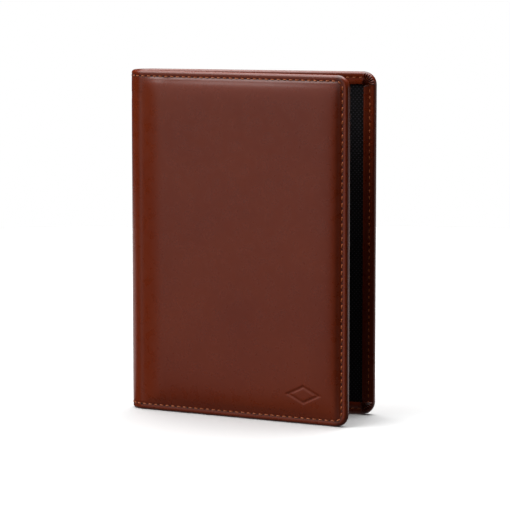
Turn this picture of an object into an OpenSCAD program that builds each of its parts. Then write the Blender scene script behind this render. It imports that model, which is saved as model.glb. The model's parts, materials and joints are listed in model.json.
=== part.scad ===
// Travel document organizer: a padded leather folder for a passport, boarding passes and cards.
// It stands on its lower edges, a little open. +X runs from the spine to the free edges,
// +Z is up, the back cover is on the +Y side and the front cover swings out on the -Y side.

/* [Covers] */
// Height of both covers
cover_h = 145; // [120:1:180]
// Width from the outside of the spine to the free edges
cover_w = 105; // [85:1:130]
// Radius of the covers' free corners
corner_r = 5.5; // [4:0.5:9]
// How far the front cover stands open, in degrees
open_angle = 12; // [4:1:40]

/* [Spine] */
// Outside radius of the rolled spine
spine_r = 8; // [6.5:0.5:12]
// Room left at each fold line between two rigid stretches
fold_gap = 0.8; // [0.6:0.1:1.5]

/* [Layers] */
// Thickness of the outer leather
leather_t = 0.9; // [0.7:0.1:1.3]
// Thickness of the stiffener board
board_t = 0.8; // [0.5:0.1:1.2]
// Thickness of the foam under the leather
foam_t = 1.5; // [0.6:0.1:2.5]
// Thickness of the woven lining
lining_t = 0.3; // [0.2:0.05:0.6]
// Thickness of the woven pocket fabric
pocket_t = 0.4; // [0.2:0.05:0.7]
// Thickness of the thinned leather that is turned in as a hem
hem_t = 0.7; // [0.4:0.1:1]
// Width of the turned hem
hem_w = 5.3; // [4.5:0.1:8]
// Room between a layer's edge and the leather folded round it
edge_gap = 0.1; // [0.05:0.05:0.3]

/* [Padding] */
// Distance from the covers' edges to the foot of the padding
pad_inset = 4; // [3.8:0.1:8]
// Distance from the start of the spine's curve to the padding and the board
pad_start = 2; // [1:0.5:6]

/* [Passport sleeve] */
// Distance from the start of the spine's curve to the sleeve's mouth
sleeve_start = 32; // [12:1:50]
// Width of the leather binding on the sleeve's mouth
binding_w = 6; // [4:0.5:10]
// Thickness of the leather binding
binding_t = 0.5; // [0.4:0.1:0.8]

/* [Card slots] */
// Distance from the start of the spine's curve to the pockets of the front cover
pocket_start = 1.5; // [1:0.5:2]
// Thickness of one leather card leaf
leaf_t = 0.55; // [0.4:0.05:0.7]
// Distance from the top edge to the highest slot's mouth
mouth_drop = 27; // [8:1:40]
// Step from one slot's mouth to the next
slot_step = 13; // [8:0.5:16]
// Depth of one slot
slot_depth = 46; // [30:1:50]

/* [Stitching] */
// Distance from the edge to the seam
seam_inset = 2.5; // [2:0.1:3.3]
// Distance from one stitch to the next
stitch_pitch = 2.8; // [2.2:0.1:4]
// Length of one stitch
stitch_len = 1.8; // [1.2:0.1:2]
// Diameter of the thread
thread_d = 0.5; // [0.3:0.05:0.7]

/* [Hidden] */
$fn = 96;

// Number of card slots, each of them a piece of its own
slots = 4;

// Colours
tan_leather = [0.38, 0.17, 0.12];
dark_leather = [0.28, 0.12, 0.09];
thread_colour = [0.75, 0.36, 0.15];
woven_black = [0.05, 0.05, 0.06];
board_grey = [0.55, 0.52, 0.47];
foam_white = [0.90, 0.89, 0.85];

// Distance of each layer's outer face from the spine's centre line, from the outside in
board_out = spine_r - leather_t;
lining_out = board_out - board_t;
pocket_out = lining_out - lining_t;
hem_out = pocket_out - pocket_t;
hem_in = hem_out - hem_t;

// Free edge of the covers, and the corner of what lies inside the folded leather
free_x = cover_w - spine_r;
inner_edge = leather_t + edge_gap;
inner_r = corner_r - inner_edge;
hem_edge = hem_w + edge_gap;

// The spine turns through what the opening leaves of a half circle. It has two fold lines,
// a quarter of the way in from each end, and unrolls flat when both fold lines are opened.
spine_turn = 180 - open_angle;
fold_turn = spine_turn / 4;
neutral_r = spine_r - leather_t / 2;
fold_r = neutral_r * fold_turn * PI / 180 / sin(fold_turn);
gap_turn = fold_gap / 2 / hem_in * 180 / PI;
quarter = 90;

// The middle of the standing organizer's outline
pad_edge_x = free_x - pad_inset;
front_reach = max(
    free_x * sin(open_angle) + spine_r * cos(open_angle),
    pad_edge_x * sin(open_angle) + (spine_r + foam_t) * cos(open_angle)
);
mid_x = (free_x - spine_r) / 2;
mid_y = (spine_r + foam_t - front_reach) / 2;

// The seam runs along the lower edge, round a corner, up the free edge and back along the top
seam_run = free_x - corner_r;
seam_rise = cover_h - 2 * corner_r;
turn_r = corner_r - seam_inset;
turn_len = turn_r * PI / 2;
seam_len = 2 * seam_run + 2 * turn_len + seam_rise;
seam_count = floor(seam_len / stitch_pitch);
arc_step = stitch_pitch / spine_r * 180 / PI;

// A point of the seam and its direction: [x, z, angle]
function seam_half(s) =
    s < seam_run ? [s, seam_inset, 0]
    : s < seam_run + turn_len ? seam_corner((s - seam_run) / turn_r * 180 / PI)
    : [free_x - seam_inset, corner_r + s - seam_run - turn_len, quarter];
function seam_corner(a) = [seam_run + turn_r * sin(a), corner_r - turn_r * cos(a), a];
function seam_upper(p) = [p[0], cover_h - p[1], 180 - p[2]];
function seam_at(s) = s <= seam_len / 2 ? seam_half(s) : seam_upper(seam_half(seam_len - s));

// Card slot k of the stack, counted from the highest, which lies at the bottom of the stack
function mouth_z(k) = cover_h - mouth_drop - (k - 1) * slot_step;
function leaf_foot(k) = k == slots ? hem_edge : mouth_z(k) - slot_depth;
function leaf_face(k) = hem_out - (k - 1) * leaf_t;

// The organizer stands over the origin
module standing() {
    translate([-mid_x, -mid_y, 0]) children();
}

// The front cover is the back cover's mirror image, swung open about the spine
module front_side() {
    standing() rotate([0, 0, -open_angle]) mirror([0, 1, 0]) children();
}

// Outline with two rounded corners on its free side
module free_outline(x0, x1, z0, z1, r) {
    translate([x0, z0]) square([x1 - r - x0, z1 - z0]);
    translate([x1 - r, z0 + r]) square([r, z1 - z0 - 2 * r]);
    for (z = [z0 + r, z1 - r]) {
        translate([x1 - r, z]) circle(r);
    }
}

// Upright sheet between two distances from the spine's centre line
module sheet(x0, x1, z0, z1, r, in, out) {
    translate([0, out, 0]) rotate([90, 0, 0]) linear_extrude(out - in) {
        if (r > 0) {
            free_outline(x0, x1, z0, z1, r);
        } else {
            translate([x0, z0]) square([x1 - x0, z1 - z0]);
        }
    }
}

// Stretch of the rolled spine, with a section drawn as distance and height
module rolled(from, to) {
    rotate([0, 0, quarter + from]) rotate_extrude(angle = to - from) children();
}

// Section of the leather: outer wall, folded top and bottom edges, and the turned hems
module leather_section() {
    difference() {
        translate([hem_in, 0]) square([spine_r - hem_in, cover_h]);
        translate([hem_out, leather_t]) square([board_out - hem_out, cover_h - 2 * leather_t]);
        translate([hem_in - 1, hem_w]) square([hem_t + 2, cover_h - 2 * hem_w]);
    }
}

// Section of a layer that lies inside the folded leather
module layer_section(in, out) {
    translate([in, inner_edge]) square([out - in, cover_h - 2 * inner_edge]);
}

// Leather of one cover: edges folded round the board, hem turned in, raised over the foam
module cover_leather() {
    rolled(0, fold_turn - gap_turn) leather_section();
    difference() {
        union() {
            sheet(0, free_x, 0, cover_h, corner_r, hem_in, spine_r);
            sheet(pad_start, pad_edge_x, pad_inset, cover_h - pad_inset, corner_r,
                board_out, spine_r + foam_t);
        }
        sheet(-1, free_x - leather_t, leather_t, cover_h - leather_t, corner_r - leather_t,
            hem_out, board_out);
        sheet(-1, free_x - hem_w, hem_w, cover_h - hem_w, 0, hem_in - 1, hem_out + edge_gap);
        foam_space(0);
    }
}

// Space under the raised leather, smaller by a margin all round for the foam itself
module foam_space(margin) {
    inset = pad_inset + leather_t + margin;
    sheet(pad_start + leather_t + margin, free_x - inset, inset, cover_h - inset,
        corner_r - leather_t - margin, board_out, spine_r + foam_t - leather_t);
}

module cover_foam() {
    foam_space(edge_gap);
}

module cover_board() {
    sheet(pad_start, free_x - inner_edge, inner_edge, cover_h - inner_edge, inner_r,
        lining_out, board_out);
}

module cover_lining() {
    rolled(0, fold_turn - gap_turn) layer_section(pocket_out, lining_out);
    sheet(0, free_x - inner_edge, inner_edge, cover_h - inner_edge, inner_r,
        pocket_out, lining_out);
}

// Pocket fabric that is caught under the hem on three sides and open towards the spine
module pocket_panel(start) {
    sheet(start, free_x - inner_edge, inner_edge, cover_h - inner_edge, inner_r,
        hem_out, pocket_out);
}

// One stitch lying in a face, half sunk into it
module stitch() {
    rotate([0, 90, 0]) cylinder(h = stitch_len, d = thread_d, center = true, $fn = 24);
}

// Seam round one cover, seen on the outside and on the hem
module cover_stitching() {
    for (face = [spine_r, hem_in], k = [0 : seam_count - 1]) {
        p = seam_at((k + 0.5) * seam_len / seam_count);
        translate([p[0], face, p[1]]) rotate([0, -p[2], 0]) stitch();
    }
    rolled_stitching(0, fold_turn - gap_turn);
}

// Seam over a stretch of the rolled spine
module rolled_stitching(from, to) {
    count = floor((to - from) / arc_step);
    for (face = [spine_r, hem_in], z = [seam_inset, cover_h - seam_inset], k = [0 : count - 1]) {
        rotate([0, 0, quarter + from + (k + 0.5) * (to - from) / count])
            translate([face, 0, z]) rotate([0, 0, quarter]) scale(face / spine_r) stitch();
    }
}

// Straight row of stitches on a face, along X or upright
module stitch_row(x, z, length, face, upright) {
    count = floor(length / stitch_pitch);
    for (k = [0 : count - 1]) {
        along = (k + 0.5) * length / count;
        translate([x + (upright ? 0 : along), face, z + (upright ? along : 0)])
            rotate([0, upright ? quarter : 0, 0]) stitch();
    }
}

// Leather strip folded round the sleeve's mouth
module mouth_binding() {
    sheet(sleeve_start - binding_t, sleeve_start + binding_w, hem_edge, cover_h - hem_edge, 0,
        hem_out - binding_t, hem_out);
    sheet(sleeve_start - binding_t, sleeve_start, hem_edge, cover_h - hem_edge, 0,
        hem_out, pocket_out);
}

// One card leaf: leather between the pockets' open side and the hem
module card_leaf(k) {
    sheet(pocket_start, free_x - hem_edge, leaf_foot(k), mouth_z(k), 0,
        leaf_face(k) - leaf_t, leaf_face(k));
}

module back_leather() {
    color(tan_leather) standing() cover_leather();
}

module back_foam() {
    color(foam_white) standing() cover_foam();
}

module back_board() {
    color(board_grey) standing() cover_board();
}

module back_lining() {
    color(woven_black) standing() cover_lining();
}

module passport_sleeve() {
    color(woven_black) standing() pocket_panel(sleeve_start);
}

module sleeve_binding() {
    color(dark_leather) standing() mouth_binding();
}

// The binding's two rows of stitches
module sleeve_stitching() {
    color(thread_colour) standing() {
        for (x = [seam_inset - binding_t, binding_w - seam_inset + binding_t]) {
            stitch_row(sleeve_start + x, hem_edge, cover_h - 2 * hem_edge,
                hem_out - binding_t, true);
        }
    }
}

module back_stitching() {
    color(thread_colour) standing() cover_stitching();
}

module spine_leather() {
    color(tan_leather) standing()
        rolled(fold_turn + gap_turn, spine_turn - fold_turn - gap_turn) leather_section();
}

// Soft felt that fills the boards' thickness round the spine
module spine_interlining() {
    color(foam_white) standing()
        rolled(fold_turn + gap_turn, spine_turn - fold_turn - gap_turn)
            layer_section(lining_out, board_out);
}

module spine_lining() {
    color(woven_black) standing()
        rolled(fold_turn + gap_turn, spine_turn - fold_turn - gap_turn)
            layer_section(pocket_out, lining_out);
}

module spine_stitching() {
    color(thread_colour) standing()
        rolled_stitching(fold_turn + gap_turn, spine_turn - fold_turn - gap_turn);
}

module front_leather() {
    color(tan_leather) front_side() cover_leather();
}

module front_foam() {
    color(foam_white) front_side() cover_foam();
}

module front_board() {
    color(board_grey) front_side() cover_board();
}

module front_lining() {
    color(woven_black) front_side() cover_lining();
}

module boarding_pass_pocket() {
    color(woven_black) front_side() pocket_panel(pocket_start);
}

module card_slot(k) {
    color(dark_leather) front_side() card_leaf(k);
}

// A row of stitches under each slot's mouth
module card_stitching() {
    color(thread_colour) front_side() {
        for (k = [1 : slots]) {
            stitch_row(pocket_start, mouth_z(k) - seam_inset, free_x - hem_edge - pocket_start,
                leaf_face(k) - leaf_t, false);
        }
    }
}

module front_stitching() {
    color(thread_colour) front_side() cover_stitching();
}

back_leather();
back_foam();
back_board();
back_lining();
passport_sleeve();
sleeve_binding();
sleeve_stitching();
back_stitching();
spine_leather();
spine_interlining();
spine_lining();
spine_stitching();
front_leather();
front_foam();
front_board();
front_lining();
boarding_pass_pocket();
card_slot(1);  // card_slot_1
card_slot(2);  // card_slot_2
card_slot(3);  // card_slot_3
card_slot(4);  // card_slot_4
card_stitching();
front_stitching();
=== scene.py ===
import json
import math
import random

import bpy
from mathutils import Matrix, Vector


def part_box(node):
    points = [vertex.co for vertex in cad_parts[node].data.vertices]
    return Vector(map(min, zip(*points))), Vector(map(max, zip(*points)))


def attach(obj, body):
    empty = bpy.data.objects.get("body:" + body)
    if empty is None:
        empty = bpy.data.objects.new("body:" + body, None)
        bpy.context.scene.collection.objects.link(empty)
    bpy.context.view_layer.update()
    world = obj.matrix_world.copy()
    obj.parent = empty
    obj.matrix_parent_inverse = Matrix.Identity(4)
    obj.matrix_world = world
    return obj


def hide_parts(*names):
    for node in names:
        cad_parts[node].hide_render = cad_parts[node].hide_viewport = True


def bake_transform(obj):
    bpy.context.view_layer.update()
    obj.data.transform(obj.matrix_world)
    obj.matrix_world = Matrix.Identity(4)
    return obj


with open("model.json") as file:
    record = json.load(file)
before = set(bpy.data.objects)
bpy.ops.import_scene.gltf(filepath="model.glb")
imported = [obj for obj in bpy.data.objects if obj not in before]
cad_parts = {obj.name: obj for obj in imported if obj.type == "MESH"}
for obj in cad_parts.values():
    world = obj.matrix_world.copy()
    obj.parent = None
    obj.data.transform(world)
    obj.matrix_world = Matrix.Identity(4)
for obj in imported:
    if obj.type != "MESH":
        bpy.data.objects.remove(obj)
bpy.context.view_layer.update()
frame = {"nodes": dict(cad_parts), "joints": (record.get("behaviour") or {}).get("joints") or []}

# ---------------------------------------------------------------- the standing pose
# The organizer stands on its lower edges with the front cover a little open. Its spine rolls
# round an upright centre line, and every piece of a cover is drawn as on the back cover.
MM = 0.001
SPINE_R = 8 * MM
LEATHER_OUT = 0.9 * MM

board_low, board_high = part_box("back_board")
spine_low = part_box("spine_leather")[0]
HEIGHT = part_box("back_leather")[1].z
SPINE_X = spine_low.x + SPINE_R
SPINE_Y = board_high.y + LEATHER_OUT - SPINE_R
FREE_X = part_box("back_leather")[1].x - SPINE_X
OPENING = math.radians(-sum(joint["range_deg"][0] for joint in frame["joints"]))
HALF_TURN = (math.pi - OPENING) / 2


def only(*pieces):
    """Selects these pieces and nothing else, in object mode."""
    if bpy.context.object and bpy.context.object.mode != "OBJECT":
        bpy.ops.object.mode_set(mode="OBJECT")
    bpy.ops.object.select_all(action="DESELECT")
    for piece in pieces:
        piece.select_set(True)
    bpy.context.view_layer.objects.active = pieces[0]


# ---------------------------------------------------------------- camera, table and light
# A long lens a metre away, a little above the organizer, looking slightly down at it.
# It stands on a plain white table in a plain white room.
CAMERA_AWAY = 1.144
CAMERA_UP = 0.2003
CAMERA_ROUND = math.radians(18.07)
CAMERA_TURN = math.radians(-2.22)
CAMERA_DOWN = math.radians(6.72)
CAMERA_LENS = 189.9
CAMERA_SENSOR = 36
CLIP_NEAR, CLIP_FAR = 0.05, 20
FLOOR_R = 0.75
FLOOR_WHITE = 0.84
FLOOR_ROUGHNESS = 0.25
FLOOR_SHINE = 0.05
BOUNCE_WIDE = 1.4
BOUNCE_START = 0.02
BOUNCE_GLOW = 0.75

bpy.ops.object.camera_add(
    location=(
        SPINE_X + CAMERA_AWAY * math.sin(CAMERA_ROUND),
        SPINE_Y - CAMERA_AWAY * math.cos(CAMERA_ROUND),
        CAMERA_UP,
    ),
    rotation=(math.pi / 2 - CAMERA_DOWN, 0, CAMERA_ROUND + CAMERA_TURN),
)
camera = bpy.context.object
camera.data.lens = CAMERA_LENS
camera.data.sensor_width = CAMERA_SENSOR
camera.data.clip_start, camera.data.clip_end = CLIP_NEAR, CLIP_FAR
bpy.context.scene.camera = camera

bpy.ops.mesh.primitive_circle_add(vertices=96, radius=FLOOR_R, fill_type="NGON")
floor = bpy.context.object
floor.name = "table"
floor_paint = bpy.data.materials.new("white_table")
floor_paint.use_nodes = True
floor_shader = floor_paint.node_tree.nodes["Principled BSDF"]
floor_shader.inputs["Base Color"].default_value = (FLOOR_WHITE, FLOOR_WHITE, FLOOR_WHITE, 1)
floor_shader.inputs["Roughness"].default_value = FLOOR_ROUGHNESS
floor_shader.inputs["Specular IOR Level"].default_value = FLOOR_SHINE
floor.data.materials.append(floor_paint)
floor.visible_diffuse = False
floor.visible_shadow = False
floor.visible_glossy = False

# A pale board lies behind, and is seen only where the sides of the leather mirror it.
bpy.ops.mesh.primitive_plane_add(
    size=BOUNCE_WIDE, location=(0, BOUNCE_START + BOUNCE_WIDE / 2, -MM)
)
bounce = bpy.context.object
bounce.name = "pale_board"
bounce_paint = bpy.data.materials.new("pale_board")
bounce_paint.use_nodes = True
bounce_shader = bounce_paint.node_tree.nodes["Principled BSDF"]
bounce_shader.inputs["Base Color"].default_value = (0, 0, 0, 1)
bounce_shader.inputs["Emission Color"].default_value = (1, 1, 1, 1)
bounce_shader.inputs["Emission Strength"].default_value = BOUNCE_GLOW
bounce.data.materials.append(bounce_paint)
bounce.visible_camera = False
bounce.visible_diffuse = False
bounce.visible_shadow = False

# The room: a strong light overhead, a softer one at the upper left of the front, a tall pale
# strip at the left of the front, a narrow one at the right, a dim floor, and plain white where
# the camera looks past it all. Each fades in between two cosines of the angle to its direction.
TOP_LIGHT = 7.2
TOP_WAY = (0, 0.3, 1)
TOP_FADE = (0.8, 0.94)
KEY_LIGHT = 5.2
KEY_WAY = (-0.55, -0.4, 0.75)
KEY_FADE = (0.86, 0.95)
STRIP_LIGHT = 0.9
STRIP_WAY = (-0.62, -0.79, 0)
STRIP_SIDE = (0.79, -0.62, 0)
STRIP_SIDE_FADE = (0.36, 0.12)
STRIP_FADE = (0.3, 0.6)
STRIP_FOOT_FADE = (-0.3, -0.05)
RIM_LIGHT = 1.5
RIM_WAY = (0.95, 0.2, 0.05)
RIM_FADE = (0.96, 0.99)
LOW_LIGHT = 0.13
LOW_FADE = (0.2, 0.5)
ROOM_LIGHT = 0.01

world = bpy.context.scene.world or bpy.data.worlds.new("studio")
bpy.context.scene.world = world
world.use_nodes = True
world_nodes, world_links = world.node_tree.nodes, world.node_tree.links
world_nodes.clear()
sky_way = world_nodes.new("ShaderNodeTexCoord").outputs["Generated"]


def sky_dot(way):
    node = world_nodes.new("ShaderNodeVectorMath")
    node.operation = "DOT_PRODUCT"
    node.inputs[1].default_value = way
    world_links.new(sky_way, node.inputs[0])
    return node.outputs["Value"]


def sky_math(operation, first, second):
    node = world_nodes.new("ShaderNodeMath")
    node.operation = operation
    for socket, value in zip(node.inputs, (first, second)):
        if isinstance(value, (int, float)):
            socket.default_value = value
        else:
            world_links.new(value, socket)
    return node.outputs[0]


def sky_step(value, start, end, most):
    node = world_nodes.new("ShaderNodeMapRange")
    node.interpolation_type = "SMOOTHSTEP"
    node.inputs["From Min"].default_value = start
    node.inputs["From Max"].default_value = end
    node.inputs["To Max"].default_value = most
    world_links.new(value, node.inputs["Value"])
    return node.outputs["Result"]


top = sky_step(sky_dot(Vector(TOP_WAY).normalized()), *TOP_FADE, TOP_LIGHT)
key = sky_step(sky_dot(Vector(KEY_WAY).normalized()), *KEY_FADE, KEY_LIGHT)
rim = sky_step(sky_dot(Vector(RIM_WAY).normalized()), *RIM_FADE, RIM_LIGHT)
aside = sky_math("ABSOLUTE", sky_dot(STRIP_SIDE), 0)
strip = sky_step(aside, *STRIP_SIDE_FADE, STRIP_LIGHT)
strip = sky_math("MULTIPLY", strip, sky_step(sky_dot(STRIP_WAY), *STRIP_FADE, 1))
strip = sky_math("MULTIPLY", strip, sky_step(sky_dot((0, 0, 1)), *STRIP_FOOT_FADE, 1))
low = sky_step(sky_dot((0, 0, -1)), *LOW_FADE, LOW_LIGHT)
room_light = sky_math("ADD", sky_math("ADD", top, key), sky_math("ADD", low, ROOM_LIGHT))
room_light = sky_math("ADD", room_light, sky_math("ADD", strip, rim))
room = world_nodes.new("ShaderNodeBackground")
world_links.new(room_light, room.inputs["Strength"])
backdrop = world_nodes.new("ShaderNodeBackground")
backdrop.inputs["Color"].default_value = (1, 1, 1, 1)
seen = world_nodes.new("ShaderNodeLightPath")
either = world_nodes.new("ShaderNodeMixShader")
world_out = world_nodes.new("ShaderNodeOutputWorld")
world_links.new(seen.outputs["Is Camera Ray"], either.inputs["Fac"])
world_links.new(room.outputs[0], either.inputs[1])
world_links.new(backdrop.outputs[0], either.inputs[2])
world_links.new(either.outputs[0], world_out.inputs["Surface"])
bpy.context.scene.view_settings.view_transform = "Standard"

# ---------------------------------------------------------------- padding under the leather
# A sheet of thin foam lies on each board. The leather is stretched over it and sewn down
# at its edge, so it swells from the seam and is stopped by the foam's own thickness.
CORNER_R = 5.5 * MM
SEAM_IN = 2.5 * MM
FOOT_IN = 3.1 * MM
FOAM_T = 1.5 * MM
SPINE_FADE = 12 * MM
SPINE_PULL = 3
PADDING_PULL = 1.5
PADDING_COLUMNS, PADDING_ROWS = 44, 66
SEWN_WIDE = 0.1 * MM
CLOTH_PRESSURE = 10
CLOTH_STEPS = 20


def swell(sheet, reach, span):
    """Blows up a sheet with cloth pressure, pinned where it is sewn down."""
    scale = 10
    only(sheet)
    bpy.ops.transform.resize(value=(scale, scale, scale), center_override=(0, 0, 0))
    bpy.ops.object.transform_apply(location=True, rotation=True, scale=True)
    pins = sheet.vertex_groups.new(name="sewn")
    for vertex in sheet.data.vertices:
        x, z = vertex.co.x / scale, vertex.co.z / scale
        if min(x - MM, reach - x, z - FOOT_IN, span - z) < SEWN_WIDE:
            pins.add([vertex.index], 1, "REPLACE")
    cloth = sheet.modifiers.new("pressure", "CLOTH")
    cloth.settings.quality = 6
    cloth.settings.use_pressure = True
    cloth.settings.uniform_pressure_force = CLOTH_PRESSURE
    cloth.settings.vertex_group_mass = "sewn"
    cloth.settings.effector_weights.gravity = 0
    cloth.collision_settings.use_collision = False
    for step in range(1, CLOTH_STEPS + 1):
        bpy.context.scene.frame_set(step)
    bpy.ops.object.modifier_apply(modifier="pressure")
    bpy.context.scene.frame_set(1)
    bpy.ops.transform.resize(value=(1 / scale,) * 3, center_override=(0, 0, 0))
    bpy.ops.object.transform_apply(location=True, rotation=True, scale=True)


def smooth_step(t):
    t = max(0.0, min(1.0, t))
    return t * t * (3 - 2 * t)


def padding_surface():
    """The swollen surface, as heights over a flat sheet at y = 0."""
    reach, span = FREE_X - FOOT_IN, HEIGHT - FOOT_IN
    bpy.ops.mesh.primitive_grid_add(
        x_subdivisions=PADDING_COLUMNS, y_subdivisions=PADDING_ROWS, size=1
    )
    sheet = bpy.context.object
    sheet.name = "padding_surface"
    for vertex in sheet.data.vertices:
        x, z = vertex.co.x + 0.5, vertex.co.y + 0.5
        vertex.co = (x * reach, 0, FOOT_IN + z * (span - FOOT_IN))
    sheet.data.flip_normals()
    swell(sheet, reach, span)
    for vertex in sheet.data.vertices:
        x, z = vertex.co.x, vertex.co.z
        rise = vertex.co.y
        from_spine = min(1, x / SPINE_FADE)
        pull = PADDING_PULL * (1 + SPINE_PULL * (1 - from_spine))
        rise = FOAM_T * (1 - math.exp(-pull * rise / FOAM_T))
        vertex.co.y = rise * math.sin(math.pi / 2 * from_spine)
    only(sheet)
    bpy.ops.object.mode_set(mode="EDIT")
    bpy.ops.mesh.select_all(action="SELECT")
    for _ in range(2):
        bpy.ops.mesh.subdivide(number_cuts=1, smoothness=1)
        bpy.ops.mesh.vertices_smooth(factor=0.5, repeat=2, xaxis=False, zaxis=False)
    bpy.ops.object.mode_set(mode="OBJECT")
    return sheet


padding = padding_surface()

# ---------------------------------------------------------------- outer leather
# One hide of smooth calf leather. On each cover it is stretched over the padding, folded
# round the board's edge and turned in as a hem, with small pleats round the free corners.
CORNER_STEPS = 56
GRID_STEP = 2.5 * MM
ROLL_STEP = 0.5 * MM
ROLL_WIDE = 6 * MM
GRADING = 0.15
SPIN_STEPS = 28
COVER_IN = 4.9 * MM
HIDE_T = 0.7 * MM
PLEATS = 7
PLEAT_RISE = 0.42 * MM
PLEAT_START, PLEAT_FULL = 0.1 * MM, 1.2 * MM
PLEAT_SHARPNESS = 1.5
AT_SPINE = 0.01 * MM
HIDE_SMOOTH = math.radians(40)
SPIN_LAST = math.radians(0.3)
# The edge's profile from the foot of the padding: distance from the edge, height
FOLD_IN = 1.2 * MM
FOLD_MIDDLE = (SPINE_R + COVER_IN) / 2
FOLD_RISE = (SPINE_R - COVER_IN) / 2
EDGE_PROFILE = (
    [(2.8 * MM, 7.93 * MM), (2.5 * MM, 7.88 * MM), (2.2 * MM, 7.93 * MM), (1.8 * MM, 7.99 * MM)]
    + [
        (FOLD_IN * (1 - math.sin(turn)), FOLD_MIDDLE + FOLD_RISE * math.cos(turn))
        for turn in (math.pi * step / 12 for step in range(13))
    ]
    + [(1.8 * MM, 4.91 * MM), (2.2 * MM, 4.96 * MM), (2.5 * MM, 5.02 * MM), (2.8 * MM, 4.96 * MM)]
    + [(3.4 * MM, 4.88 * MM), (4.2 * MM, 4.88 * MM), (4.8 * MM, 4.94 * MM), (5.25 * MM, 5.1 * MM)]
)

# Plain lozenge pressed into the front cover's lower free corner: its middle, reach and line
MARK_X, MARK_Z = FREE_X - 19.5 * MM, 12.5 * MM
MARK_REACH_X, MARK_REACH_Z = 7.6 * MM, 3.7 * MM
MARK_LINE = 0.55 * MM
MARK_DEEP = 0.22 * MM
MARK_STEP = 0.3 * MM
MARK_SHARE = 0.9


def graded_lines(start, end, step_at):
    """Places from start to end, with the gap after each given by step_at."""
    lines = [start]
    while lines[-1] < end:
        lines.append(lines[-1] + step_at(lines[-1]))
    stretch = (end - start) / (lines[-1] - start)
    return [start + (line - start) * stretch for line in lines]


def grid_lines(start, end, turn_r, both_ends, mark):
    """Places of the sheet's lines: closer on the padding's roll, at the corners and at a mark."""

    def step_at(place):
        from_edge = min(last - place, place - first if both_ends else last)
        step = min(GRID_STEP, ROLL_STEP + GRADING * max(0, from_edge - ROLL_WIDE))
        if not both_ends:
            step = min(step, MM + GRADING * max(0, place - SPINE_FADE))
        if mark:
            from_mark = max(0, abs(place - mark[0]) - mark[1])
            step = min(step, MARK_STEP + GRADING * from_mark)
        return step

    half = CORNER_STEPS // 2
    corner = [turn_r * math.sin(math.radians(45) * k / half) for k in range(1, half)]
    first = start + turn_r if both_ends else start
    last = end - turn_r
    lines = graded_lines(first, last, step_at) + [last + c for c in corner] + [end]
    if both_ends:
        lines = [start] + [first - c for c in reversed(corner)] + lines
    return lines


def crown_sheet(marked):
    """Sheet inside the seam, with its free corners rounded and all its faces four-sided."""
    turn_r = CORNER_R - FOOT_IN
    right, low, high = FREE_X - FOOT_IN, FOOT_IN, HEIGHT - FOOT_IN
    mark_x = (MARK_X, MARK_REACH_X) if marked else None
    mark_z = (MARK_Z, MARK_REACH_Z) if marked else None
    columns = grid_lines(0, right, turn_r, False, mark_x)
    rows = grid_lines(low, high, turn_r, True, mark_z)
    bpy.ops.mesh.primitive_grid_add(
        x_subdivisions=len(columns) - 1, y_subdivisions=len(rows) - 1, size=1
    )
    sheet = bpy.context.object
    for vertex in sheet.data.vertices:
        i = round((vertex.co.x + 0.5) * (len(columns) - 1))
        j = round((vertex.co.y + 0.5) * (len(rows) - 1))
        x, z = columns[i], rows[j]
        over_x = x - (right - turn_r)
        over_z = max(low + turn_r - z, z - (high - turn_r))
        at_side, at_end = i == len(columns) - 1, j in (0, len(rows) - 1)
        if at_side and at_end:
            over_x = over_z = turn_r * math.sqrt(0.5)
        elif at_side and over_z > 0:
            over_x = math.sqrt(turn_r**2 - over_z**2)
        elif at_end and over_x > 0:
            over_z = math.sqrt(turn_r**2 - over_x**2)
        if at_side:
            x = right - turn_r + over_x if over_z > 0 else right
        if at_end and over_x > 0:
            z = low + turn_r - over_z if j == 0 else high - turn_r + over_z
        vertex.co = (x, SPINE_R, z)
    sheet.data.flip_normals()
    return sheet


def outward(point):
    """Direction out of the cover's rounded outline at a point near its edge."""
    core_x = min(point.x, FREE_X - CORNER_R)
    core_z = max(CORNER_R, min(HEIGHT - CORNER_R, point.z))
    away = Vector((point.x - core_x, 0, point.z - core_z))
    return away.normalized()


def open_edges(mesh):
    """Edges with one face."""
    faces = {}
    for polygon in mesh.polygons:
        for key in polygon.edge_keys:
            faces[key] = faces.get(key, 0) + 1
    return [edge for edge in mesh.edges if faces.get(edge.key, 0) == 1]


def select_open_edges(piece, wanted):
    """Selects the open edges whose two ends pass a test together, and leaves edit mode on."""
    only(piece)
    bpy.ops.object.mode_set(mode="EDIT")
    bpy.ops.mesh.select_mode(type="EDGE")
    bpy.ops.mesh.select_all(action="DESELECT")
    bpy.ops.object.mode_set(mode="OBJECT")
    vertices = piece.data.vertices
    for edge in open_edges(piece.data):
        if wanted([vertices[k].co for k in edge.vertices]):
            edge.select = True
    bpy.ops.object.mode_set(mode="EDIT")


def lay_over_padding(sheet):
    """Presses the sheet onto the padding."""
    only(padding)
    bpy.ops.transform.translate(value=(0, SPINE_R, 0))
    bpy.ops.object.transform_apply(location=True, rotation=True, scale=True)
    press = sheet.modifiers.new("lay", "SHRINKWRAP")
    press.target = padding
    press.wrap_method = "PROJECT"
    press.use_project_y = True
    press.use_positive_direction = True
    press.use_negative_direction = True
    press.project_limit = 3 * MM
    only(sheet)
    bpy.ops.object.modifier_apply(modifier="lay")
    only(padding)
    bpy.ops.transform.translate(value=(0, -SPINE_R, 0))
    bpy.ops.object.transform_apply(location=True, rotation=True, scale=True)


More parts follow.
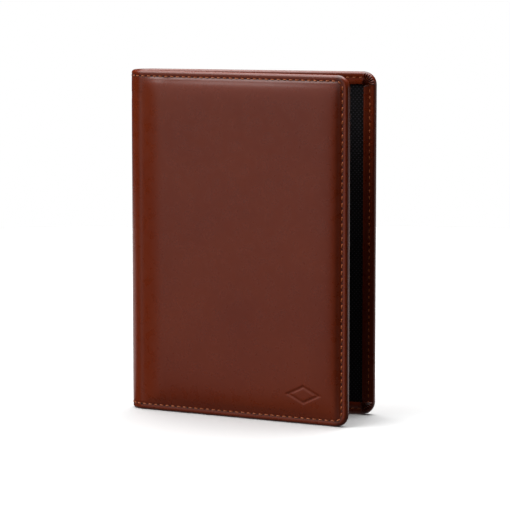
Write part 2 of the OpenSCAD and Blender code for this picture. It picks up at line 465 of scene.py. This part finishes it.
def press_mark(sheet):
    """Presses the outline of a plain lozenge into the leather."""
    slope = math.hypot(1 / MARK_REACH_X, 1 / MARK_REACH_Z)
    for vertex in sheet.data.vertices:
        across = abs(vertex.co.x - MARK_X) / MARK_REACH_X
        up = abs(vertex.co.z - MARK_Z) / MARK_REACH_Z
        away = abs(across + up - MARK_SHARE) / slope
        if away < 2 * MARK_LINE:
            vertex.co.y -= MARK_DEEP * math.exp(-((away / MARK_LINE) ** 4))


def fold_edges(piece):
    """Extrudes the three outer edges along the profile: seam, border, fold and hem."""
    select_open_edges(piece, lambda ends: max(end.x for end in ends) > AT_SPINE)
    before = FOOT_IN
    for depth, height in EDGE_PROFILE:
        bpy.ops.mesh.extrude_edges_move()
        bpy.ops.object.mode_set(mode="OBJECT")
        for vertex in piece.data.vertices:
            if vertex.select:
                vertex.co += outward(vertex.co) * (before - depth)
                vertex.co.y = height
        bpy.ops.object.mode_set(mode="EDIT")
        before = depth
    bpy.ops.object.mode_set(mode="OBJECT")


def pleat_corners(piece):
    """Gathers the hem into small pleats that radiate from its inner corners."""
    gaps = piece.data.attributes.new("pleat_gap", "FLOAT", "POINT")
    for vertex in piece.data.vertices:
        core_x = FREE_X - CORNER_R
        core_z = max(CORNER_R, min(HEIGHT - CORNER_R, vertex.co.z))
        over_x, over_z = vertex.co.x - core_x, abs(vertex.co.z - core_z)
        if vertex.co.y < FOLD_MIDDLE and over_x > 0 and over_z > 0:
            depth = CORNER_R - math.hypot(over_x, over_z)
            share = math.atan2(over_z, over_x) / (math.pi / 2)
            ridge = (0.5 - 0.5 * math.cos(math.tau * PLEATS * share)) ** PLEAT_SHARPNESS
            rise = smooth_step((depth - PLEAT_START) / PLEAT_FULL)
            vertex.co.y -= PLEAT_RISE * ridge * rise
            gaps.data[vertex.index].value = (1 - ridge) * rise


def roll_spine(piece, steps):
    """Spins the edges at the spine's side round the spine's centre line, to its middle."""
    select_open_edges(piece, lambda ends: max(end.x for end in ends) < AT_SPINE)
    for count, turn in ((steps, HALF_TURN - SPIN_LAST), (1, SPIN_LAST)):
        bpy.ops.mesh.spin(steps=count, angle=turn, center=(0, 0, 0), axis=(0, 0, -1))
    bpy.ops.object.mode_set(mode="OBJECT")


def clean_shell(piece, outside):
    """Merges doubles and turns all faces to the side where a crown face looks along `outside`."""
    only(piece)
    bpy.ops.object.mode_set(mode="EDIT")
    bpy.ops.mesh.select_all(action="SELECT")
    bpy.ops.mesh.remove_doubles(threshold=1e-6)
    bpy.ops.mesh.normals_make_consistent(inside=False)
    bpy.ops.object.mode_set(mode="OBJECT")
    middle = Vector((FREE_X / 2, 0, HEIGHT / 2))
    nearest = min(piece.data.polygons, key=lambda face: (face.center - middle).length)
    if nearest.normal.dot(outside) < 0:
        only(piece)
        bpy.ops.object.mode_set(mode="EDIT")
        bpy.ops.mesh.select_all(action="SELECT")
        bpy.ops.mesh.flip_normals()
        bpy.ops.object.mode_set(mode="OBJECT")


def thicken(piece, thickness):
    wall = piece.modifiers.new("wall", "SOLIDIFY")
    wall.thickness = thickness
    wall.offset = -1
    only(piece)
    bpy.ops.object.modifier_apply(modifier="wall")


def place(piece, cover):
    """Stands a piece drawn on the back cover at its place on that cover."""
    only(piece)
    if cover == "front_cover":
        piece.data.transform(Matrix.Scale(-1, 4, (0, 1, 0)))
        piece.data.flip_normals()
        piece.data.transform(Matrix.Rotation(-OPENING, 4, "Z"))
    piece.data.transform(Matrix.Translation((SPINE_X, SPINE_Y, 0)))
    return piece


def bend(piece, cover):
    """Bakes the piece's placement into its mesh, the same for either cover; nothing is bent."""
    if cover == "back_cover":
        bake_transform(piece)
    else:
        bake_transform(piece)


def cover_hide(name, cover, nodes):
    """Leather of one cover and half of the spine."""
    hide = crown_sheet(cover == "front_cover")
    hide.name = name
    lay_over_padding(hide)
    if cover == "front_cover":
        press_mark(hide)
    fold_edges(hide)
    pleat_corners(hide)
    roll_spine(hide, SPIN_STEPS)
    clean_shell(hide, Vector((0, 1, 0)))
    burnish_and_shade_leather(hide)
    thicken(hide, HIDE_T)
    place(hide, cover)
    hide.data.materials.clear()
    hide.data.materials.append(calf)
    only(hide)
    bpy.ops.object.shade_smooth_by_angle(angle=HIDE_SMOOTH)
    bend(hide, cover)
    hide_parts(*nodes)


class Paint:
    """A material whose nodes are added one by one."""

    def __init__(self, name, roughness, **sockets):
        self.material = bpy.data.materials.new(name)
        self.material.use_nodes = True
        self.nodes = self.material.node_tree.nodes
        self.links = self.material.node_tree.links
        self.shader = self.nodes["Principled BSDF"]
        self.shader.inputs["Roughness"].default_value = roughness
        for socket, value in sockets.items():
            self.shader.inputs[socket.replace("_", " ")].default_value = value
        self.place = self.nodes.new("ShaderNodeTexCoord").outputs["Object"]

    def node(self, kind, output, inputs, **settings):
        """Adds a node, sets or links its inputs, and gives its output."""
        node = self.nodes.new("ShaderNode" + kind)
        for setting, value in settings.items():
            setattr(node, setting, value)
        for socket, value in inputs.items():
            if isinstance(value, bpy.types.NodeSocket):
                self.links.new(value, node.inputs[socket])
            else:
                node.inputs[socket].default_value = value
        return node.outputs[output]

    def noise(self, scale, detail=2):
        inputs = {"Vector": self.place, "Scale": scale, "Detail": detail}
        return self.node("TexNoise", "Fac", inputs)

    def attribute(self, name, output="Fac"):
        return self.node("Attribute", output, {}, attribute_name=name)

    def span(self, value, start, end, low=0.0, high=1.0):
        inputs = {"Value": value, "From Min": start, "From Max": end}
        inputs.update({"To Min": low, "To Max": high})
        return self.node("MapRange", "Result", inputs)

    def mix(self, share, first, second):
        node = self.nodes.new("ShaderNodeMix")
        node.data_type = "RGBA"
        for socket, value in zip((node.inputs[0], node.inputs[6], node.inputs[7]),
                                 (share, first, second)):
            if isinstance(value, bpy.types.NodeSocket):
                self.links.new(value, socket)
            elif isinstance(value, tuple):
                socket.default_value = (*value, 1)
            else:
                socket.default_value = value
        return node.outputs[2]

    def math(self, operation, first, second=0.0):
        return self.node("Math", 0, {0: first, 1: second}, operation=operation)

    def bump(self, height, distance, strength=1.0, under=None):
        inputs = {"Height": height, "Distance": distance, "Strength": strength}
        if under:
            inputs["Normal"] = under
        return self.node("Bump", "Normal", inputs)

    def set(self, socket, value):
        self.links.new(value, self.shader.inputs[socket])


def leather_paint(name, colour, deep, roughness, pores, coat):
    """Dyed calf leather: cloudy dye, fine pores, faint wrinkles, darker burnished edges, and painted
    shade in the seam, at the padding's foot and between the pleats.
    """
    paint = Paint(name, roughness, Coat_Weight=coat, Coat_Roughness=0.16, Specular_IOR_Level=0.45)
    cloud = paint.span(paint.noise(32, 4), 0.3, 0.7)
    fleck = paint.span(paint.noise(1400, 3), 0.35, 0.65)
    dye = paint.mix(cloud, deep, colour)
    dye = paint.mix(paint.math("MULTIPLY", fleck, 0.22), dye, deep)
    # Painted shade: the seam's groove, the padding's foot on the free side and the pleat gaps are
    # darkened in the colour, along with the burnished fold.
    burnish_and_shade_colour = tuple(0.45 * channel for channel in deep)
    dye = paint.mix(paint.math("MULTIPLY", paint.attribute("burnish_and_painted_shade"), 0.9), dye, burnish_and_shade_colour)
    paint.set("Base Color", dye)
    dull = paint.span(paint.noise(260, 3), 0.3, 0.7, roughness - 0.05, roughness + 0.06)
    paint.set("Roughness", dull)
    cell = paint.node("TexVoronoi", "Distance", {"Vector": paint.place, "Scale": 2600.0})
    grain = paint.bump(paint.noise(420, 4), 0.00003, pores)
    paint.set("Normal", paint.bump(cell, 0.00003, pores, grain))
    return paint.material


# How much darker the leather is in each place, and how wide that place is. The fold is
# burnished darker; the seam's groove, the padding's foot on the free side and the gaps
# between the pleats get painted shade.
FOLD_DARK, FOLD_WIDE = 0.3, 1.6 * MM
SEAM_SHADE, SEAM_WIDE = 0.5, 0.5 * MM
FOOT_SHADE, FOOT_FROM_EDGE, FOOT_WIDE = 0.85, 4.1 * MM, 1.3 * MM
GAP_SHADE = 0.55


def burnish_and_shade_leather(piece):
    """Darkens the leather: burnished at the fold, and painted shade in the seam's groove, at the foot
    of the padding's roll on the free side and between the pleats.
    """
    gaps = [item.value for item in piece.data.attributes["pleat_gap"].data]
    marks = piece.data.attributes.new("burnish_and_painted_shade", "FLOAT", "POINT")
    for vertex in piece.data.vertices:
        from_edge = min(FREE_X - vertex.co.x, vertex.co.z, HEIGHT - vertex.co.z)
        in_fold = 1 - smooth_step(from_edge / FOLD_WIDE)
        in_seam = math.exp(-(((from_edge - SEAM_IN) / SEAM_WIDE) ** 2))
        at_foot = math.exp(-(((FREE_X - vertex.co.x - FOOT_FROM_EDGE) / FOOT_WIDE) ** 2))
        # Painted shade from the seam, the foot and the gaps; real burnish only from the fold.
        dark = FOLD_DARK * in_fold + SEAM_SHADE * in_seam + FOOT_SHADE * at_foot
        dark += GAP_SHADE * gaps[vertex.index]
        marks.data[vertex.index].value = min(1, dark)


CALF_BROWN, CALF_DEEP = (0.208, 0.028, 0.005), (0.178, 0.021, 0.004)
calf = leather_paint("polished_calf", CALF_BROWN, CALF_DEEP, 0.29, 0.22, 0.1)

cover_hide("back_hide", "back_cover", ["back_leather", "spine_leather"])
cover_hide("front_hide", "front_cover", ["front_leather", "spine_leather"])

# ---------------------------------------------------------------- foam pads
# A thin sheet of soft foam on each board, skived thin at its rim, with its face crowned by
# the leather that is stretched over it.
FOAM_START = 3 * MM
FOAM_IN = 5 * MM
FOAM_CORNER_R = 4.5 * MM
FOAM_UNDER = HIDE_T + 0.08 * MM
BOARD_OUT = board_high.y - SPINE_Y
BOARD_GAP = 0.02 * MM


def cut_away(piece, point, way):
    """Cuts off what lies beyond a plane."""
    only(piece)
    bpy.ops.object.mode_set(mode="EDIT")
    bpy.ops.mesh.select_all(action="SELECT")
    bpy.ops.mesh.bisect(plane_co=point, plane_no=way, clear_outer=True)
    bpy.ops.object.mode_set(mode="OBJECT")


def round_off(piece, x1, z0, z1, radius):
    """Cuts a sheet to an outline with two rounded corners on its free side."""
    for z, side in ((z0 + radius, -1), (z1 - radius, 1)):
        for degrees in (0, 15, 30, 45, 60, 75, 90):
            way = Vector((math.cos(math.radians(degrees)), 0, side * math.sin(math.radians(degrees))))
            cut_away(piece, Vector((x1 - radius, 0, z)) + radius * way, way)


def foam_pad(name, cover, node):
    only(padding)
    bpy.ops.object.duplicate()
    pad = bpy.context.object
    pad.name = name
    cut_away(pad, (FOAM_START, 0, 0), (-1, 0, 0))
    round_off(pad, FREE_X - FOAM_IN, FOAM_IN, HEIGHT - FOAM_IN, FOAM_CORNER_R)
    only(pad)
    bpy.ops.transform.translate(value=(0, SPINE_R - FOAM_UNDER, 0))
    bpy.ops.object.transform_apply(location=True, rotation=True, scale=True)
    bpy.ops.object.mode_set(mode="EDIT")
    bpy.ops.mesh.select_all(action="SELECT")
    bpy.ops.mesh.extrude_region_move()
    bpy.ops.object.mode_set(mode="OBJECT")
    for vertex in pad.data.vertices:
        if vertex.select:
            vertex.co.y = BOARD_OUT + BOARD_GAP
    clean_shell(pad, Vector((0, -1, 0)))
    place(pad, cover)
    only(pad)
    bpy.ops.object.shade_smooth_by_angle(angle=HIDE_SMOOTH)
    pad.data.materials.clear()
    pad.data.materials.append(foam_paint)
    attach(pad, cover)
    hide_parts(node)


foam = Paint("cut_foam", 0.9, Sheen_Weight=0.2)
foam_cells = foam.node("TexVoronoi", "Distance", {"Vector": foam.place, "Scale": 1800.0})
foam.set("Base Color", foam.mix(foam_cells, (0.62, 0.58, 0.5), (0.82, 0.79, 0.72)))
foam.set("Normal", foam.bump(foam_cells, 0.0001))
foam_paint = foam.material
foam_pad("back_foam_pad", "back_cover", "back_foam")
foam_pad("front_foam_pad", "front_cover", "front_foam")
only(padding)
bpy.ops.object.delete()

# ---------------------------------------------------------------- boards
# Grey board that stiffens each cover. It is cut with rounded corners and stays as designed;
# only its fibres and its rough surface are added here.
board = Paint("grey_board", 0.85)
board_fibre = board.noise(900, 5)
board.set("Base Color", board.mix(board_fibre, (0.2, 0.18, 0.15), (0.38, 0.35, 0.3)))
board.set("Normal", board.bump(board_fibre, 0.00005))
for name in ("back_board", "front_board"):
    frame["nodes"][name].data.materials.clear()
    frame["nodes"][name].data.materials.append(board.material)

# ---------------------------------------------------------------- seams round the covers
# One row of thick waxed thread near the covers' edges, seen on the outside and on the hem,
# and carried on over the spine's ends. Each stitch dips into its needle holes.
STITCH_PITCH = 2.8 * MM
STITCH_LEN = 1.8 * MM
STITCH_SLANT = math.radians(7)
SLANT_LEAST, SLANT_MOST = 0.4, 1.6
PLY_DEPTH, PLY_TWIST = 0.13, 2.2
END_TAPER, FLATNESS = 0.25, 0.85
THREAD_R = 0.25 * MM
STITCH_SINK = 0.42 * MM
HOLE_R = 0.42 * MM
HOLE_RIM, HOLE_MIDDLE = -0.09 * MM, -0.02 * MM
SEAM_OUTSIDE = SPINE_R - 0.02 * MM
SEAM_INSIDE = COVER_IN + 0.14 * MM


def stitch_shape():
    """One stitch along X with its outer side towards Y: two twisted plies, and a small near-black disc
    that paints the shade in its needle hole.
    """
    bpy.ops.mesh.primitive_circle_add(vertices=8, radius=THREAD_R, rotation=(0, math.pi / 2, 0))
    bpy.ops.object.transform_apply(location=True, rotation=True, scale=True)
    stitch = bpy.context.object
    bpy.ops.object.mode_set(mode="EDIT")
    bpy.ops.mesh.select_all(action="SELECT")
    rings = 8
    centre = Vector((0, 0, 0))
    for ring in range(rings + 1):
        share = 2 * ring / rings - 1
        if ring:
            bpy.ops.mesh.extrude_edges_move()
        bpy.ops.object.mode_set(mode="OBJECT")
        middle = Vector((share * STITCH_LEN / 2, -STITCH_SINK * abs(share) ** 5, 0))
        for vertex in stitch.data.vertices:
            if vertex.select:
                away = vertex.co - centre
                turn = math.atan2(away.z, away.y)
                ply = 1 + PLY_DEPTH * math.cos(2 * (turn - PLY_TWIST * share))
                reach = THREAD_R * ply * (1 - END_TAPER * abs(share) ** 6)
                y, z = FLATNESS * reach * math.cos(turn), reach * math.sin(turn)
                vertex.co = middle + Vector((0, y, z))
        bpy.ops.object.mode_set(mode="EDIT")
        centre = middle
    bpy.ops.object.mode_set(mode="OBJECT")
    # A near-black disc just under the leather's face: painted shade for the needle hole.
    bpy.ops.mesh.primitive_circle_add(
        vertices=8, radius=HOLE_R, fill_type="TRIFAN", location=(STITCH_PITCH / 2, 0, 0),
        rotation=(-math.pi / 2, 0, 0),
    )
    hole = bpy.context.object
    bpy.ops.object.transform_apply(location=True, rotation=True, scale=True)
    for vertex in hole.data.vertices:
        away = (vertex.co - Vector((STITCH_PITCH / 2, 0, 0))).length
        vertex.co.y = HOLE_RIM if away > 0.5 * HOLE_R else HOLE_MIDDLE
    stitch.data.materials.append(thread_paint)
    stitch.data.materials.append(hole_shade_paint)
    hole.data.materials.append(thread_paint)
    hole.data.materials.append(hole_shade_paint)
    for polygon in hole.data.polygons:
        polygon.material_index = 1
    only(stitch, hole)
    bpy.ops.object.join()
    bpy.ops.object.mode_set(mode="EDIT")
    bpy.ops.mesh.select_all(action="SELECT")
    bpy.ops.mesh.normals_make_consistent(inside=False)
    bpy.ops.object.mode_set(mode="OBJECT")
    bpy.ops.object.shade_smooth()
    return stitch


def sew(name, places):
    """Copies the stitch to each place: a point, the seam's direction and the side it shows on."""
    copies = []
    for point, along, out in places:
        copy = stitch.copy()
        copy.data = stitch.data.copy()
        bpy.context.collection.objects.link(copy)
        turn = Matrix((along, out, along.cross(out))).transposed().to_4x4()
        slant = Matrix.Rotation(STITCH_SLANT * hand.uniform(SLANT_LEAST, SLANT_MOST), 4, "Y")
        copy.data.transform(Matrix.Translation(point) @ turn @ slant)
        copies.append(copy)
    only(*copies)
    bpy.ops.object.join()
    row = bpy.context.object
    row.name = name
    return row


def seam_place(run, rolled, out):
    """Place on the seam, measured from the spine's middle along the lower edge."""
    turn_r = CORNER_R - SEAM_IN
    straight = FREE_X - CORNER_R
    if run < rolled:
        turn = math.pi / 2 + (rolled - run) / SPINE_R
        radius = SEAM_OUTSIDE if out > 0 else SEAM_INSIDE
        side = Vector((math.cos(turn), math.sin(turn), 0))
        point = radius * side + Vector((0, 0, SEAM_IN))
        return point, Vector((math.sin(turn), -math.cos(turn), 0)), out * side
    run -= rolled
    face = SEAM_OUTSIDE if out > 0 else SEAM_INSIDE
    if run < straight:
        return Vector((run, face, SEAM_IN)), Vector((1, 0, 0)), Vector((0, out, 0))
    turn = (run - straight) / turn_r
    if turn < math.pi / 2:
        along = Vector((math.cos(turn), 0, math.sin(turn)))
        x, z = straight + turn_r * math.sin(turn), CORNER_R - turn_r * math.cos(turn)
        return Vector((x, face, z)), along, Vector((0, out, 0))
    z = CORNER_R + run - straight - turn_r * math.pi / 2
    return Vector((FREE_X - SEAM_IN, face, z)), Vector((0, 0, 1)), Vector((0, out, 0))


def cover_seam(name, cover, nodes):
    rolled = HALF_TURN * SPINE_R
    turn_len = (CORNER_R - SEAM_IN) * math.pi / 2
    length = 2 * (rolled + FREE_X - CORNER_R + turn_len) + HEIGHT - 2 * CORNER_R
    count = round(length / STITCH_PITCH)
    places = []
    for out in (1, -1):
        for k in range(count):
            run = (k + 0.5) * length / count
            point, along, side = seam_place(min(run, length - run), rolled, out)
            if run > length / 2:
                point.z = HEIGHT - point.z
                along = Vector((-along.x, -along.y, along.z))
            places.append((point, along, side))
    seam = place(sew(name, places), cover)
    bend(seam, cover)
    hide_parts(*nodes)


thread = Paint("waxed_thread", 0.5, Sheen_Weight=0.15)
thread_fibre = thread.noise(5000, 3)
thread.set("Base Color", thread.mix(thread_fibre, (0.31, 0.062, 0.008), (0.58, 0.14, 0.022)))
thread.set("Normal", thread.bump(thread_fibre, 0.00004, 0.6))
thread_paint = thread.material
# Near-black colour for the needle holes: painted shade, not a real hole.
hole = Paint("needle_hole_painted_shade", 0.8)
hole.set("Base Color", hole.mix(hole.noise(3000), (0.012, 0.003, 0.001), (0.03, 0.006, 0.002)))
hole_shade_paint = hole.material
stitch = stitch_shape()
hand = random.Random(7)
cover_seam("back_seam", "back_cover", ["back_stitching", "spine_stitching"])
cover_seam("front_seam", "front_cover", ["front_stitching", "spine_stitching"])

# ---------------------------------------------------------------- felt in the spine
# A strip of soft felt as thick as the boards lies between them round the spine, so that the
# spine is as full as the covers. It is glued to the leather.
BOARD_START = board_low.x - SPINE_X
FELT_OUT, FELT_T = BOARD_OUT - BOARD_GAP, 0.74 * MM
FELT_END = BOARD_START - 0.1 * MM
EDGE_IN = HEIGHT - board_high.z


def ruled_sheet(columns, rows, at):
    """Grid of four-sided faces whose corner in column i and row j lies at at(i, j)."""
    bpy.ops.mesh.primitive_grid_add(
        x_subdivisions=len(columns) - 1, y_subdivisions=len(rows) - 1, size=1
    )
    sheet = bpy.context.object
    for vertex in sheet.data.vertices:
        i = round((vertex.co.x + 0.5) * (len(columns) - 1))
        j = round((vertex.co.y + 0.5) * (len(rows) - 1))
        vertex.co = at(columns[i], rows[j])
    return sheet


def spaced(start, end, step):
    count = max(1, round((end - start) / step))
    return [start + (end - start) * k / count for k in range(count + 1)]


def felt_strip(name, cover):
    columns = spaced(0, FELT_END, 0.5 * MM)
    rows = spaced(EDGE_IN, HEIGHT - EDGE_IN, 3 * MM)
    felt = ruled_sheet(columns, rows, lambda x, z: (x, FELT_OUT, z))
    felt.name = name
    roll_spine(felt, SPIN_STEPS)
    clean_shell(felt, Vector((0, 1, 0)))
    thicken(felt, FELT_T)
    place(felt, cover)
    only(felt)
    bpy.ops.object.shade_smooth_by_angle(angle=HIDE_SMOOTH)
    felt.data.materials.clear()
    felt.data.materials.append(felt_paint.material)
    bend(felt, cover)
    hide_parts("spine_interlining")


felt_paint = Paint("soft_felt", 0.95, Sheen_Weight=0.4)
felt_hair = felt_paint.noise(1500, 6)
felt_paint.set("Base Color", felt_paint.mix(felt_hair, (0.25, 0.23, 0.2), (0.5, 0.47, 0.42)))
felt_paint.set("Normal", felt_paint.bump(felt_hair, 0.0001))
felt_strip("back_spine_felt", "back_cover")
felt_strip("front_spine_felt", "front_cover")

# ---------------------------------------------------------------- woven lining
# Black ribbed cloth that lines both covers and the spine. Its cut edge is glued down under
# the turned hem, and its ribs run across the covers and on round the spine.
RIB = 0.9 * MM
RIB_RISE = 0.07 * MM
RIB_POINTS = 4
TIE_PITCH = 1.6 * MM
LINING_T = 0.3 * MM
CLOTH_STEP = 12 * MM
CLOTH_SPIN_STEPS = 16
CLOTH_SMOOTH = math.radians(60)
lining_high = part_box("back_lining")[1]
LINING_FACE = lining_high.y - SPINE_Y - LINING_T
CLOTH_EDGE = lining_high.x - SPINE_X
CLOTH_CORNER_R = CORNER_R - LEATHER_OUT - 0.1 * MM


def ribbed_cloth(name, cover, start, face, thickness, rolled):
    """Ribbed cloth from `start` to the hem, with its right side towards the inside."""
    rows = spaced(EDGE_IN, HEIGHT - EDGE_IN, RIB / RIB_POINTS)
    columns = spaced(start, CLOTH_EDGE, CLOTH_STEP)

    def at(x, z):
        phase = math.pi * (z - EDGE_IN) / RIB
        return (x, face + RIB_RISE * (1 - abs(math.sin(phase))), z)

    cloth = ruled_sheet(columns, rows, at)
    cloth.name = name
    round_off(cloth, CLOTH_EDGE, EDGE_IN, HEIGHT - EDGE_IN, CLOTH_CORNER_R)
    if rolled:
        roll_spine(cloth, CLOTH_SPIN_STEPS)
    clean_shell(cloth, Vector((0, -1, 0)))
    place_marks = cloth.data.attributes.new("cloth_place", "FLOAT_VECTOR", "POINT")
    for vertex in cloth.data.vertices:
        along = vertex.co.x
        if along < 0:
            along = -face * (math.atan2(vertex.co.y, vertex.co.x) - math.pi / 2)
        place_marks.data[vertex.index].vector = (along, vertex.co.z - EDGE_IN, 0)
    thicken(cloth, thickness - RIB_RISE)
    place(cloth, cover)
    only(cloth)
    bpy.ops.object.shade_smooth_by_angle(angle=CLOTH_SMOOTH)
    cloth.data.materials.clear()
    return cloth


def woven_paint(name, colour, thread_colour, tie_colour):
    """Ribbed black cloth: fine warp threads over each rib, and a tie thread at intervals."""
    paint = Paint(name, 0.75, Sheen_Weight=0.04, Specular_IOR_Level=0.2)
    where = paint.attribute("cloth_place", "Vector")
    parts = paint.nodes.new("ShaderNodeSeparateXYZ")
    paint.links.new(where, parts.inputs[0])
    across = paint.math("COSINE", paint.math("MULTIPLY", parts.outputs["X"], math.tau / TIE_PITCH))
    up = paint.math("COSINE", paint.math("MULTIPLY", parts.outputs["Y"], math.pi / RIB))
    ties = paint.span(paint.math("MULTIPLY", across, up), 0.45, 0.9)
    warp = paint.node(
        "TexWave", "Fac", {"Vector": where, "Scale": 1200.0, "Distortion": 0.6},
        bands_direction="X",
    )
    dye = paint.mix(paint.math("MULTIPLY", warp, 0.6), colour, thread_colour)
    paint.set("Base Color", paint.mix(ties, dye, tie_colour))
    under = paint.bump(warp, 0.00006, 0.8)
    paint.set("Normal", paint.bump(paint.noise(2500), 0.00003, 0.5, under))
    return paint.material


CLOTH_BLACK = (0.0008, 0.0008, 0.001)
WARP_BLACK = (0.004, 0.0035, 0.0045)
TIE_GREY = (0.05, 0.045, 0.055)
lining_paint = woven_paint("black_lining", CLOTH_BLACK, WARP_BLACK, TIE_GREY)
for name, cover, node in (
    ("back_woven_lining", "back_cover", "back_lining"),
    ("front_woven_lining", "front_cover", "front_lining"),
):
    lining = ribbed_cloth(name, cover, 0, LINING_FACE, LINING_T, True)
    lining.data.materials.append(lining_paint)
    bend(lining, cover)
    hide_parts(node, "spine_lining")

# ---------------------------------------------------------------- pockets
# The passport sleeve on the back cover and the boarding pass pocket on the front cover are
# panels of the same ribbed cloth, caught under the hem on three sides and open at the spine.
POCKET_START = 1.5 * MM
POCKET_T = 0.4 * MM
pocket_paint = woven_paint("black_pocket", CLOTH_BLACK, WARP_BLACK, TIE_GREY)
for name, cover, node in (
    ("back_sleeve_panel", "back_cover", "passport_sleeve"),
    ("front_pocket_panel", "front_cover", "boarding_pass_pocket"),
):
    pocket_low, pocket_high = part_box("passport_sleeve")
    pocket_face, pocket_t = pocket_low.y - SPINE_Y, pocket_high.y - pocket_low.y
    mouth = pocket_low.x - SPINE_X if cover == "back_cover" else POCKET_START
    pocket = ribbed_cloth(name, cover, mouth, pocket_face, pocket_t, False)
    pocket.data.materials.append(pocket_paint)
    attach(pocket, cover)
    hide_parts(node)

# ---------------------------------------------------------------- binding of the sleeve's mouth
# A strip of thin dark leather is folded round the mouth of the passport sleeve and sewn
# down with two rows of stitches.
binding_low, binding_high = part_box("sleeve_binding")
BINDING_FACE = binding_low.y - SPINE_Y
BINDING_X0, BINDING_X1 = binding_low.x - SPINE_X, binding_high.x - SPINE_X
BINDING_ROWS = (BINDING_X0 + 2.5 * MM, BINDING_X1 - 2 * MM)
BINDING_FOLD_R = 0.45 * MM
STRIP_T = 0.3 * MM
STRIP_SMOOTH = math.radians(50)
bind_points = [(BINDING_X1, 0.2), (BINDING_X1 - 0.2 * MM, 0.06), (BINDING_X1 - 0.5 * MM, 0)]
for row_x in reversed(BINDING_ROWS):
    bind_points += [(row_x + d * MM, h) for d, h in ((0.5, 0), (0.25, 0.05), (0, 0.1))]
    bind_points += [(row_x - d * MM, h) for d, h in ((0.25, 0.05), (0.5, 0))]
bind_points = [(x, BINDING_FACE + h * MM) for x, h in bind_points]
bind_points += [
    (
        BINDING_X0 + BINDING_FOLD_R * (1 - math.sin(turn)),
        BINDING_FACE + BINDING_FOLD_R * (1 - math.cos(turn)),
    )
    for turn in (math.pi / 2 * k / 6 for k in range(7))
]
bind_points.append((BINDING_X0, binding_high.y - SPINE_Y - 0.02 * MM))
binding = ruled_sheet(
    bind_points,
    spaced(binding_low.z, binding_high.z, 3 * MM),
    lambda point, z: (point[0], point[1], z),
)
binding.name = "sleeve_mouth_binding"
clean_shell(binding, Vector((0, -1, 0)))
thicken(binding, STRIP_T)
place(binding, "back_cover")
only(binding)
bpy.ops.object.shade_smooth_by_angle(angle=STRIP_SMOOTH)
DARK_BROWN, DARK_DEEP = (0.10, 0.014, 0.004), (0.07, 0.010, 0.003)
dark_calf = leather_paint("dark_calf", DARK_BROWN, DARK_DEEP, 0.42, 0.5, 0.1)
binding.data.materials.clear()
binding.data.materials.append(dark_calf)
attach(binding, "back_cover")
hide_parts("sleeve_binding")

binding_length = binding_high.z - binding_low.z
count = int(binding_length / STITCH_PITCH)
places = [
    (
        Vector((x, BINDING_FACE - 0.02 * MM, binding_low.z + (k + 0.5) * binding_length / count)),
        Vector((0, 0, 1)),
        Vector((0, -1, 0)),
    )
    for x in BINDING_ROWS
    for k in range(count)
]
binding_seam = place(sew("sleeve_mouth_seam", places), "back_cover")
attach(binding_seam, "back_cover")
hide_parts("sleeve_stitching")

# ---------------------------------------------------------------- card leaves
# Four leaves of dark calf stacked in steps on the front cover's pocket. Each has a turned
# mouth with a creased line, and a row of stitches under it.
LEAF_COUNT = 4
LEAF_T = 0.55 * MM
LEAF_FOOT = 5.4 * MM
LEAF_LENGTH = 46 * MM
FIRST_LEAF_T = 0.24 * MM
LEAF_STEP = 13 * MM
LEAF_START, LEAF_END = POCKET_START, FREE_X - LEAF_FOOT
FIRST_MOUTH = HEIGHT - 27 * MM
LEAF_SEAM = 2.5 * MM
LEAF_BACK = LINING_FACE - POCKET_T
# From the mouth down: distance, and how far the face lies below the leaf's outside
LEAF_PROFILE = (
    [(0, 0.3), (0.06, 0.12), (0.18, 0.03), (0.35, 0)]
    + [(0.95, 0), (1.1, 0.05), (1.25, 0.1), (1.4, 0.05), (1.55, 0)]
    + [(2.0, 0), (2.25, 0.05), (2.5, 0.09), (2.75, 0.05), (3.0, 0)]
)


def card_leaf(number):
    """Leaf of the stack, counted from the highest mouth, which lies at the bottom."""
    face = LEAF_BACK - number * LEAF_T
    mouth = FIRST_MOUTH - (number - 1) * LEAF_STEP
    foot = LEAF_FOOT if number == LEAF_COUNT else mouth - LEAF_LENGTH
    rows = [(mouth - down * MM, face + deep * MM) for down, deep in LEAF_PROFILE]
    rows += [(z, face) for z in reversed(spaced(foot, mouth - 6 * MM, 4 * MM))]
    leaf = ruled_sheet(
        spaced(LEAF_START, LEAF_END, 3 * MM), rows, lambda x, row: (x, row[1], row[0])
    )
    leaf.name = f"card_leaf_{number}"
    clean_shell(leaf, Vector((0, -1, 0)))
    thicken(leaf, FIRST_LEAF_T if number == 1 else STRIP_T)
    place(leaf, "front_cover")
    only(leaf)
    bpy.ops.object.shade_smooth_by_angle(angle=STRIP_SMOOTH)
    leaf.data.materials.clear()
    leaf.data.materials.append(dark_calf)
    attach(leaf, "front_cover")
    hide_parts(f"card_slot_{number}")
    count = int((LEAF_END - LEAF_START) / STITCH_PITCH)
    return [
        (
            Vector((LEAF_START + (k + 0.5) * (LEAF_END - LEAF_START) / count, face, mouth - LEAF_SEAM)),
            Vector((1, 0, 0)),
            Vector((0, -1, 0)),
        )
        for k in range(count)
    ]


places = []
for number in range(1, LEAF_COUNT + 1):
    places += card_leaf(number)
card_seam = place(sew("card_leaf_seams", places), "front_cover")
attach(card_seam, "front_cover")
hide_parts("card_stitching")
only(stitch)
bpy.ops.object.delete()
